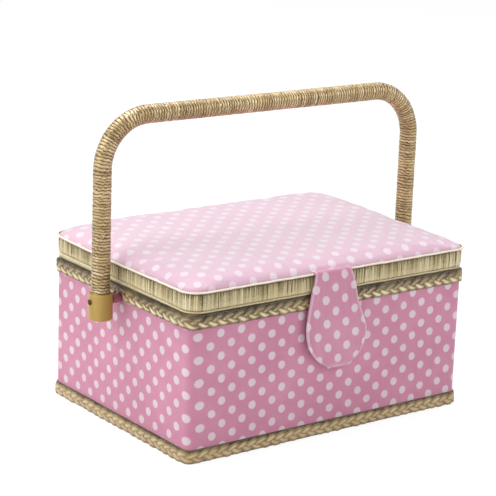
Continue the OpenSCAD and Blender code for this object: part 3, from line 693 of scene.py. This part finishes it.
def band_shading(place, ridge, own, gap):
    """Painted light and tone values of the band's winding, in rows from its lower to its upper
    edge: painted highlights on the ridges, painted shade in grooves and gaps, and a random tone
    for each turn.
    """
    between = np.round(place).astype(int)
    near = np.abs(place - np.round(place))
    up = BAND_ROWS[:, :1]
    tone = own * (0.6 + 0.4 * wander(place / 3.1, 46))
    # Painted highlights on the ridges and painted shade in the grooves and gaps, times random
    # tones
    painted_light_and_tone = np.clip(ridge ** 0.7 * (0.35 + 0.75 * tone) * (1 - gap), 0, 1)
    # Darker with more contrast towards the top, and evened towards a light value near the bottom
    painted_light_and_tone = painted_light_and_tone ** (1 + 1.5 * np.clip(up - 0.6, 0, 1))
    painted_light_and_tone = painted_light_and_tone + (0.8 - painted_light_and_tone) * 0.45 * np.clip((0.5 - up) / 0.3, 0, 1)
    # Between two turns a notch of painted shade opens from the top, to a depth of its own
    notch = 0.06 + 0.42 * each_own(between, 48) ** 1.5
    in_notch = near < 0.42 * np.clip((up - 1 + notch) / notch, 0, 1)
    painted_light_and_tone = painted_light_and_tone * (1 - 0.9 * in_notch)
    # The winding gets painted shade where it goes in behind its trims
    painted_light_and_tone = painted_light_and_tone * (0.25 + 0.75 * np.clip(up / 0.09, 0, 1))
    painted_light_and_tone = painted_light_and_tone * (1 - 0.5 * np.clip((up - 0.93) / 0.05, 0, 1))
    # A random slit between two turns is painted dark, as shade in the gap
    slit = (each_own(between, 47) > 0.975) & (near < 0.35)
    return painted_light_and_tone * (1 - slit * ((up > 0.25) & (up < 0.85)))


def band_winding(material):
    """Cord wound up and down round the side of the lid, notched for the hinges."""
    turns, per_turn = round(LID_ROUND / BAND_PITCH), 6
    columns = turns * per_turn
    s = LID_ROUND * np.arange(columns) / columns
    place = s / (LID_ROUND / turns) + 0.22 * wander(s / (5 * MM), 41)
    index, between = np.floor(place).astype(int), np.round(place).astype(int)
    ridge = np.sqrt(np.clip(1 - (2 * (place - index) - 1) ** 2, 0, 1))
    own = each_own(index, 42)
    gap = (each_own(between, 43) > 0.9) & (np.abs(place - np.round(place)) < 0.3)
    crest = BAND_HIGH[0] - BOX_W / 2 - 0.18 * MM * own
    groove = 0.45 * MM + 0.25 * MM * (each_own(between, 44) > 0.75)
    out = crest - groove * (1 - ridge) - 0.5 * MM * gap

    hinge = LID_LEAF_HIGH[0] - HINGE_L / 2
    x, y = LID_PATH(s)[:2]
    low_lift, high_lift = lid_lift(y)
    low, high = BAND_LOW[2] + low_lift, BAND_HIGH[2] + high_lift
    at_hinge = (y > BOX_D / 2 - MM) & (np.abs(np.abs(x) - hinge) < HINGE_L / 2 + HINGE_ROOM / 2)
    bottom = np.where(at_hinge, np.maximum(LID_LEAF_HIGH[2] + HINGE_ROOM / 2, low), low)
    up, tuck = BAND_ROWS[:, :1], BAND_ROWS[:, 1:]
    lean = 0.35 * MM * (each_own(index, 45) - 0.5) * (up - 0.5)
    flat = np.stack([s + lean, bottom + (high - bottom) * up, out * (1 - tuck)], -1)
    levels = BAND_LOW[2] + (BAND_HIGH[2] - BAND_LOW[2]) * np.append(up, 0)
    uv = np.stack(np.meshgrid(levels, np.append(s, LID_ROUND), indexing="ij"), -1)
    patch = Patch(laid_round(LID_PATH, flat), rows_meet=True, columns_meet=True, uv=uv,
                  painted_light_and_tone=band_shading(place, ridge, own, gap))
    build("band_winding", [patch], material, "lid", ["lid_band"])


def twisted(low, high, start, end, lay_length, depth, under_lift, over_lift):
    """Two-ply cord laid round the lid within its CAD piece, with painted light on its upper outer
    side and painted shade below, behind and between its plies. Its under and its upper side rise
    by shares of the lid's two lifts."""
    radius = (high[2] - low[2]) / 2
    z, out = (high[2] + low[2]) / 2, high[0] - BOX_W / 2 - radius
    closed = end - start > 0.999 * LID_ROUND
    step, sides = 0.5 * MM, 16
    steps = round((end - start) / step)
    s = start + (end - start) * np.arange(steps + (not closed)) / steps
    twist = TAU * s / ((end - start) / round((end - start) / lay_length))
    turn = TAU * np.arange(sides) / sides
    ply = np.abs(np.cos(turn[None, :] - twist[:, None]))
    reach = radius * (1 - depth + depth * ply)
    lifts = np.stack(lid_lift(LID_PATH(s)[1]))
    under, over = np.tensordot(under_lift, lifts, 1), np.tensordot(over_lift, lifts, 1)
    rise = (0.12 * MM * wander(s / (6 * MM), 51))[:, None] + under[:, None]
    rise = rise + (over - under)[:, None] * (0.5 + 0.5 * np.sin(turn))
    flat = np.stack([np.broadcast_to(s[:, None], reach.shape),
                     z + rise + reach * np.sin(turn), out + reach * np.cos(turn)], -1)
    # Painted light on the upper outer side, painted shade below and behind and between the plies
    lit = np.clip(0.2 + np.cos(turn - 1.0), 0, 1)
    painted_light_and_tone = (1 - 1.5 * depth + 1.5 * depth * ply) * lit
    return Patch(laid_round(LID_PATH, flat), rows_meet=closed, columns_meet=True,
                 step=(step, TAU * radius / sides), painted_light_and_tone=painted_light_and_tone, caps=not closed)


def lid_piping(material):
    """Bright twisted piping above the wound band."""
    patch = twisted(PIPING_LOW, PIPING_HIGH, 0, LID_ROUND, 3.4 * MM, 0.34, (0, 1), (0, 1))
    build("piping_twist", [patch], material, "lid", ["lid_piping"])


def edge_cord(material):
    """Thin cord below the wound band, which stops at the hinges."""
    inner, outer = hinge_span(LID_LEAF_HIGH)
    patches = [twisted(EDGE_LOW, EDGE_HIGH, start, end, 9.0 * MM, 0.1, (0, 0), (1, 0))
               for start, end in ((-inner, inner), (outer, LID_ROUND - outer))]
    build("edge_twist", patches, material, "lid", ["lid_edge_cord"])


def rounded_grid(width, depth, radius, across, deep):
    """A grid over a rounded rectangle, closer at its rim. Gives x, y and how far each point is
    on its way from the middle to the rim."""
    v, u = np.meshgrid(np.linspace(-1, 1, deep + 1), np.linspace(-1, 1, across + 1), indexing="ij")
    u, v = (np.sin(t * TAU / 4) * 0.5 + t * 0.5 for t in (u, v))
    x, y = u * width / 2, v * depth / 2
    rim = np.maximum(np.abs(u), np.abs(v))
    # Where the ray through each point crosses the rounded outline, as a share of the square one
    scale = 1 / np.maximum(rim, TINY)
    ray_x, ray_y = np.abs(x * scale), np.abs(y * scale)
    centre_x, centre_y = width / 2 - radius, depth / 2 - radius
    a, b = ray_x ** 2 + ray_y ** 2, ray_x * centre_x + ray_y * centre_y
    c = centre_x ** 2 + centre_y ** 2 - radius ** 2
    root = (b + np.sqrt(np.maximum(b ** 2 - a * c, 0))) / np.maximum(a, TINY)
    share = np.where((ray_x > centre_x) & (ray_y > centre_y), np.minimum(root, 1), 1)
    pull = 1 - (1 - share) * rim ** 6
    return x * pull, y * pull, rim


def lengths_on_cloth(points, axis):
    """How far each point of a grid is from the middle one of its line, along the cloth."""
    steps = np.linalg.norm(np.diff(points, axis=axis), axis=-1)
    go = np.insert(np.cumsum(steps, axis), 0, 0, axis)
    return go - np.take(go, [go.shape[axis] // 2], axis)


def lid_slopes(x, y, width, depth):
    """How much lower the cushion is towards the front, the left, the right end of the front
    and the back left corner."""
    front, left, right = (y + depth / 2) / MM, (x + width / 2) / MM, (width / 2 - x) / MM
    back = depth / MM - front
    lower = 3.0 * np.exp(-front / 14) + 2.5 * np.exp(-left / 12)
    lower += 5.0 * np.exp(-right / 16) * np.clip((30 - y / MM) / 90, 0, 1)
    lower += 3.5 * np.exp(-(left ** 2 + back ** 2) / 30 ** 2)
    return LID_MOST_LOWER * np.tanh(lower / LID_MOST_LOWER) * MM


def lid_cloth():
    """Padded cloth over the lid, drawn down to the piping and eased by a cloth simulation."""
    hem_out = CLOTH_HIGH[0] - BOX_W / 2
    width, depth = BOX_W + 2 * hem_out, BOX_D + 2 * hem_out
    x, y, rim = rounded_grid(width, depth, LID_CORNER_R + hem_out, across=84, deep=60)
    lift = lid_lift(y)[1]
    height = CLOTH_HIGH[2] - CLOTH_LOW[2]
    crown = np.sqrt(np.clip(1 - rim ** LID_EDGE_POWER, 0, 1))
    z = CLOTH_LOW[2] - 0.1 * MM + lift
    z = z + (height - lift) * crown * (1 - lid_slopes(x, y, width, depth) / height)
    uneven = 0.25 * MM * wander(x / (38 * MM) + 1.7 * wander(y / (33 * MM), 61), 62)
    z = z + uneven * (1 - rim ** 4)
    for dent_x, dent_y, dent_wide, dent_deep in LID_DENTS:
        far = ((x - dent_x * MM) ** 2 + (y - dent_y * MM) ** 2) / (dent_wide * MM) ** 2
        z = z - dent_deep * MM * np.exp(-far)
    points = np.stack([x, y, z], -1)
    uv = lattice(lengths_on_cloth(points, 1), lengths_on_cloth(points, 0),
                 (28.9, -38.9), (17.4, 0.88), (1.9, 18.2))
    piece = build("padded_lid_cloth", [Patch(points, uv=uv, painted_light_and_tone=0)],
                  dotted_cloth("dotted_lid", sheen=1.0, roughness=0.4, painted_sheen=0.4), "lid",
                  ["lid_cloth", "lid_padding"])
    hem = [k for k, share in enumerate(rim.ravel()) if share > 0.999]
    puff(piece, hem, pressure=1.2, limit=0.6 * MM)
    refine(piece)
    skin(piece, 0.8 * MM)


def puff(piece, held, pressure, limit):
    """Lets a padded cloth settle under pressure with its hem held, no further than a limit."""
    before = np.array([v.co for v in piece.data.vertices])
    group = piece.vertex_groups.new(name="held")
    group.add(held, 1.0, "REPLACE")
    cloth = piece.modifiers.new("cloth", "CLOTH")
    settings = cloth.settings
    settings.quality = 5
    settings.mass = 0.2
    settings.use_pressure = True
    settings.uniform_pressure_force = pressure
    settings.vertex_group_mass = "held"
    settings.shrink_min = -0.01
    settings.effector_weights.gravity = 0
    settings.tension_stiffness = settings.compression_stiffness = 25
    settings.bending_stiffness = 2
    scene = bpy.context.scene
    for step in range(1, PUFF_STEPS + 1):
        scene.frame_set(step)
    settled = piece.evaluated_get(bpy.context.evaluated_depsgraph_get())
    after = np.array([v.co for v in settled.data.vertices])
    piece.modifiers.remove(cloth)
    scene.frame_set(1)
    move = after - before
    far = np.linalg.norm(move, axis=1, keepdims=True)
    move *= np.minimum(1, limit / np.maximum(far, TINY))
    piece.data.vertices.foreach_set("co", (before + move).ravel())
    piece.data.update()


def apply(piece, modifier):
    """Applies a modifier to a piece's mesh."""
    bpy.context.view_layer.objects.active = piece
    bpy.ops.object.modifier_apply(modifier=modifier.name)


def refine(piece):
    """Subdivides a piece once, smoothly."""
    modifier = piece.modifiers.new("subdivision", "SUBSURF")
    modifier.levels = modifier.render_levels = 1
    modifier.boundary_smooth = "PRESERVE_CORNERS"
    apply(piece, modifier)


def skin(piece, thickness):
    """Gives an open cloth its thickness, inwards."""
    modifier = piece.modifiers.new("thickness", "SOLIDIFY")
    modifier.thickness = thickness
    modifier.offset = -1
    apply(piece, modifier)


def handle_path():
    """Walk up the left leg of the handle, along its bar and down its right leg."""
    rod_r = CORE_HIGH[1]
    half = CORE_HIGH[0] - rod_r - BEND_R
    low, high = WRAP_LOW[2], CORE_HIGH[2] - rod_r - BEND_R
    bend = TAU / 4 * BEND_R
    return walk([0, high - low, bend, 2 * half, bend, high - low],
                [-half, -half, -half, half, half, half], [low, high, high, high, high, low],
                [2, 2, 1, 1, 0, 0], BEND_R, False)


def handle_winding(material):
    """Cord wound tightly round the handle, three threads side by side in each turn."""
    path, length = handle_path()
    turns = round(length / WRAP_PITCH)
    per_turn, sides = 12, 32
    rows = turns * per_turn
    s = length * np.arange(rows + 1) / rows
    turn = TAU * np.arange(sides) / sides
    along, around = np.meshgrid(s, turn, indexing="ij")
    place = along / length * turns + 0.25 * wander(along / (5 * MM), 71)
    place = place + 0.26 * wander(along / (2.4 * MM) + 7 * np.cos(around), 72) - around / TAU
    index = np.floor(place)
    part = place - index
    own = each_own(index + 40, 73)
    crest_at = 0.5 + 0.22 * (each_own(index + 40, 74) - 0.5)
    ridge = np.sqrt(np.clip(1 - (2 * part ** (0.5 / crest_at) - 1) ** 2, 0, 1))
    thread = np.abs(np.cos(TAU * 1.5 * part))
    crossing = 0.5 + 0.5 * wander(along / (1.3 * MM) + 9 * np.cos(around + own * 6), 75)
    reach = WRAP_R - MM * (0.55 * (1 - ridge) + 0.14 * own + 0.14 * (1 - thread) + 0.1 * crossing)
    x, z, out_x, out_z = (v[:, None] for v in path(s))
    points = np.stack([x + out_x * reach * np.cos(turn), reach * np.sin(turn),
                       z + out_z * reach * np.cos(turn)], -1)
    # Painted highlights on the crests and painted shade in the grooves between turns and threads,
    # times random tones
    painted_light_and_tone = ridge ** 1.3 * (0.6 + 0.4 * thread) * (0.7 + 0.3 * own) * (0.72 + 0.28 * crossing)
    patch = Patch(points, columns_meet=True, painted_light_and_tone=painted_light_and_tone, caps=True,
                  step=(length / rows, TAU * WRAP_R / sides))
    build("handle_winding", [patch], material, "handle", ["handle_wrap"])


def joint_place(name):
    """Where a joint's axis passes, in metres."""
    for joint in frame["record"]["behaviour"]["joints"]:
        if joint["name"] == name:
            return np.array(joint["pos_m"])
    raise ValueError(name)


def tab_line(fold_y, hem_y, rows):
    """Middle line of the tab from its sewn root to its tip: distance along it, y, z and
    thickness, and the distance at which it passes over the piping."""
    top, tip_z, low_y = PIPING_HIGH[2], TAB_LOW[2], fold_y + 1.64 * MM
    knots = np.array([(hem_y + 2.4 * MM, top + 0.3 * MM, 0.9 * MM),
                      (hem_y + 0.2 * MM, top + 0.5 * MM, 0.9 * MM),
                      (hem_y - 1.8 * MM, top + 0.55 * MM, 0.9 * MM),
                      (hem_y - 2.9 * MM, top + 0.2 * MM, 1.0 * MM),
                      (fold_y + 0.5 * MM, top - 1.2 * MM, 1.2 * MM),
                      (fold_y + 0.3 * MM, top - 6 * MM, 2.0 * MM),
                      (low_y - 0.4 * MM, RIM_HIGH[2] + 1 * MM, 2.6 * MM),
                      (low_y, RIM_LOW[2], 3.0 * MM), (low_y, tip_z + 20 * MM, 3.0 * MM),
                      (low_y, tip_z + 0.6 * MM, 2.6 * MM)]).T
    go = np.concatenate([[0], np.cumsum(np.hypot(np.diff(knots[0]), np.diff(knots[1])))])
    ease = np.linspace(0, 1, rows)
    d = go[-1] * (0.55 * np.sin(TAU / 4 * ease) + 0.45 * ease ** 1.6)
    y, z, thick = (np.interp(d, go, values) for values in knots)
    for _ in range(2):
        for line in (y, z):
            line[1:-1] = np.convolve(line, np.ones(3) / 3, "valid")
    return d, y, z, thick, go[3]


def tab_widths(z):
    """Middle and half width of the tab at each height, down to its round tip."""
    heights, middles, halves = np.array(TAB_OUTLINE[::-1]).T * MM
    middle = np.interp(z, heights, middles) + 0.12 * np.clip(heights[0] - z, 0, None)
    tip_r = halves[0]
    tip_centre = TAB_LOW[2] + tip_r
    below = np.clip(tip_centre - z, 0, tip_r)
    half = np.where(z > tip_centre, np.interp(z, heights, halves),
                    np.sqrt(tip_r ** 2 - below ** 2))
    return middle, np.maximum(half, 2.2 * MM)


def tab_creases(d, across, front):
    """How far creases that run down the tab lower its front face, less near its ends."""
    fold = np.zeros((len(d), len(across)))
    for at, wide, deep, seed in TAB_FOLDS:
        drift = at + 0.05 * wander(d / (22 * MM), 80 + seed)[:, None]
        near = np.exp(-((across[None, :] - drift) / wide) ** 2)
        fold -= deep * MM * near * (0.75 + 0.25 * wander(d / (15 * MM), 90 + seed))[:, None]
    ends = np.clip((d[-1] - d) / (14 * MM), 0, 1) * np.clip((d - 6 * MM) / (8 * MM), 0, 1)
    return fold * (front > 0.05) * ends[:, None]


def closing_tab():
    """Padded cloth tab with a turned edge, folded over the piping and hung over the trims."""
    rows, sides = 130, 96
    fold_y, hem_y = joint_place("tab_hinge")[1], -CLOTH_HIGH[1]
    d, y, z, thick, over_piping = tab_line(fold_y, hem_y, rows)
    middle, half = tab_widths(z)
    go_y, go_z = np.gradient(y), np.gradient(z)
    size = np.hypot(go_y, go_z)
    out_y, out_z = go_z / size, -go_y / size
    turn = TAU * np.arange(sides) / sides
    across = np.sign(np.cos(turn)) * np.abs(np.cos(turn)) ** 0.6
    front = np.sin(turn)
    edge = np.abs(across)
    # A turned edge stands over a slack middle, with a seam between them
    hem = 1 - 1.7 * MM / half[:, None]
    rim = np.exp(-((edge - hem - 0.03) / 0.035) ** 2)
    seam = np.exp(-((edge - hem + 0.045) / 0.018) ** 2)
    bulge = (1 - edge ** 16) ** 0.5 * (0.36 + 0.14 * rim - 0.14 * seam * (front > 0))
    depth = thick[:, None] * bulge * np.sign(front) + tab_creases(d, across, front)
    points = np.stack([middle[:, None] + half[:, None] * across,
                       y[:, None] + out_y[:, None] * depth,
                       z[:, None] + out_z[:, None] * depth], -1)
    fall = PIPING_HIGH[2] - d + over_piping
    x = np.concatenate([points[..., 0], points[:, :1, 0]], 1)
    x, fall = np.concatenate([x, x[-1:]]), np.append(fall, fall[-1])
    uv = lattice(x, fall[:, None], (-1.9, 91.3), (16.9, -0.3), (-1.9, 17.5))
    # Painted highlight on the turned edge and the lower hem, shown through the cloth's painted
    # sheen
    turned = np.clip(1.3 * rim - 0.9 * seam, 0, 1) * (front > 0)
    low_hem = np.exp(-((d[-1] - d) / (1.7 * MM)) ** 2)[:, None] * (front > 0)
    patch = Patch(points, columns_meet=True, uv=uv, caps=True, painted_light_and_tone=np.maximum(turned, low_hem))
    piece = build("cloth_tab", [patch], dotted_cloth("dotted_tab", sheen=0.35, painted_sheen=0.03),
                  None, ["closing_tab"])
    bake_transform(piece)


def pocket(material):
    """Gathered pocket inside the lid, sewn down on three sides."""
    width, depth, thick = POCKET_HIGH - POCKET_LOW
    gathers, per_gather, rows = 26, 10, 40
    columns = gathers * per_gather
    x = POCKET_LOW[0] + width * np.arange(columns + 1) / columns
    y = POCKET_LOW[1] + depth * np.arange(rows + 1) / rows
    along, deep = np.meshgrid(x, y)
    share_x = (along - POCKET_LOW[0]) / width
    share_y = (deep - POCKET_LOW[1]) / depth
    phase = TAU * gathers * (share_x + 0.006 * wander(share_y * 3 + 9 * share_x, 101))
    loose = 0.35 + 0.65 * share_y
    wave = 0.5 - 0.5 * np.cos(phase)
    belly = np.sin(np.pi * share_x) ** 0.25 * np.sin(np.pi * np.clip(share_y, 0, 0.75)) ** 0.5
    drop = 0.3 * MM + (thick - 0.6 * MM) * belly * (0.45 + 0.55 * wave * loose)
    points = np.stack([along, deep, POCKET_HIGH[2] - drop], -1)
    piece = build("gathered_pocket", [Patch(points, uv=points[..., :2])], material, "lid",
                  ["lid_pocket"])
    skin(piece, 0.4 * MM)


def elastic(material):
    """Ruffled elastic at the mouth of the pocket."""
    width = ELASTIC_HIGH[0] - ELASTIC_LOW[0]
    gathers, per_gather = 52, 8
    columns = gathers * per_gather
    x = ELASTIC_LOW[0] + width * np.arange(columns + 1) / columns
    shares = np.array([0, 0.06, 0.2, 0.35, 0.5, 0.65, 0.8, 0.94, 1.0])
    along, share = np.meshgrid(x, shares)
    wave = 0.5 - 0.5 * np.cos(TAU * gathers * (along - ELASTIC_LOW[0]) / width)
    rib = np.abs(np.cos(TAU * 2 * share))
    deep = ELASTIC_LOW[2] + 0.25 * MM + 0.5 * MM * wave + 0.15 * MM * rib
    y = ELASTIC_LOW[1] + (ELASTIC_HIGH[1] - ELASTIC_LOW[1]) * share
    outer = np.stack([along, y, deep], -1)
    points = np.concatenate([outer, outer[::-1] + (0, 0, 0.9 * MM)])
    patch = Patch(points, rows_meet=True, step=(0.7 * MM, width / columns),
                  painted_light_and_tone=np.concatenate([rib, rib]))
    build("ruffled_elastic", [patch], material, "lid", ["pocket_elastic"])


def pincushion(material):
    """Small stuffed cushion inside the lid with a sewn hem."""
    centre = (CUSHION_LOW + CUSHION_HIGH) / 2
    width, depth, height = CUSHION_HIGH - CUSHION_LOW
    rings, columns = 18, 72
    turn = TAU * np.arange(columns) / columns
    x, y = (size / 2 * np.sign(side) * np.abs(side) ** 0.62
            for size, side in ((width, np.cos(turn)), (depth, np.sin(turn))))
    rows = [np.stack([x * 0.2, y * 0.2, np.full(columns, CUSHION_HIGH[2])], -1)]
    for k in range(rings):
        a = TAU / 4 * k / (rings - 1) * 0.985
        share = math.cos(a) ** 0.5
        pucker = 1 + 0.02 * np.sin(18 * turn) * math.cos(a) ** 2
        rows.append(np.stack([x * share * pucker, y * share * pucker,
                              np.full(columns, CUSHION_HIGH[2] - height * math.sin(a))], -1))
    points = np.array(rows) + (centre[0], centre[1], 0)
    uv = np.concatenate([points[..., :2], points[:, :1, :2]], 1)
    patch = Patch(points, columns_meet=True, uv=uv, caps=True)
    piece = build("stuffed_pincushion", [patch], material, "lid",
                  ["pincushion"])


def dress(material, *nodes):
    """Gives CAD nodes a material."""
    for name in nodes:
        mesh = frame["nodes"][name].data
        mesh.materials.clear()
        mesh.materials.append(material)


def dress_frame():
    """Materials of the CAD pieces that stay."""
    dress(grained("board", srgb(196, 164, 120), srgb(160, 126, 84), (1, 1, 1), 0.75),
          "base_panel", "front_board", "back_board", "left_board", "right_board", "lid_board",
          "tray_ledges")
    dress(grained("pine_wood", srgb(226, 196, 146), srgb(196, 156, 102), (0.15, 1, 1), 0.6),
          "rim_frame", "lid_frame")
    dress(grained("dark_card", srgb(74, 66, 62), srgb(48, 43, 41), (1, 1, 1), 0.8), "base_sheet")
    dress(satin("lining_satin", srgb(240, 214, 224)), "lining", "lid_lining")
    dress(grained("bent_cane", srgb(190, 150, 96), srgb(150, 108, 60), (1, 1, 0.1), 0.6),
          "handle_core")
    dress(grained("ferrule_plastic", srgb(206, 176, 88), srgb(160, 120, 52), (1, 1, 0.08), 0.3,
                  0.02), "ferrule_left", "ferrule_right")
    dress(moulded("tray_plastic", srgb(244, 241, 236), srgb(236, 232, 226), 0.4), "tray")
    # The spacers are coloured dark rose as painted shadow of the handle on the wall
    dress(moulded("spacer_painted_shadow", srgb(170, 104, 112), srgb(140, 78, 88), 0.5),
          "handle_spacers")
    dress(metal("plated_brass", srgb(214, 178, 98), srgb(176, 136, 66), 0.32),
          "hinge_box_leaves", "hinge_lid_leaves", "hinge_pins", "hinge_box_screws",
          "hinge_lid_screws")
    dress(metal("rivet_metal", srgb(96, 72, 44), srgb(64, 46, 28), 0.45), "pivot_rivets")
    dress(metal("disc_steel", srgb(200, 202, 205), srgb(160, 162, 166), 0.3), "catch_disc",
          "tab_magnet")


photograph_camera()
studio()
dress_frame()
# Cord colours: crest, middle and groove; the crest colour is a painted highlight and the groove
# colour painted shade
braid = cord_threads("braid_threads", srgb(255, 246, 220), srgb(206, 180, 126), srgb(30, 16, 2),
                     groove_at=0.08)
straw = cord_threads("straw_threads", srgb(236, 216, 174), srgb(186, 160, 110), srgb(40, 24, 6),
                     groove_at=0.05)
wound = cord_threads("wound_threads", srgb(255, 244, 212), srgb(196, 178, 126), srgb(30, 16, 2),
                     groove_at=0.06)
cover_cloth()
rim_plait(braid)
base_plait(straw)
band_winding(wound)
lid_piping(cord_threads("piping_threads", srgb(255, 250, 240), srgb(244, 224, 194),
                        srgb(84, 52, 22)))
edge_cord(cord_threads("edge_threads", srgb(236, 222, 184), srgb(180, 162, 112),
                       srgb(46, 32, 8)))
lid_cloth()
closing_tab()
handle_winding(cord_threads("handle_threads", srgb(250, 236, 200), srgb(184, 152, 98),
                            srgb(44, 26, 6), 0.27, metal=0.45, groove_at=0.16))
pocket(satin("pocket_satin", srgb(236, 190, 210)))
elastic(satin("elastic_satin", srgb(226, 160, 188)))
pincushion(satin("pincushion_cloth", srgb(216, 134, 168)))
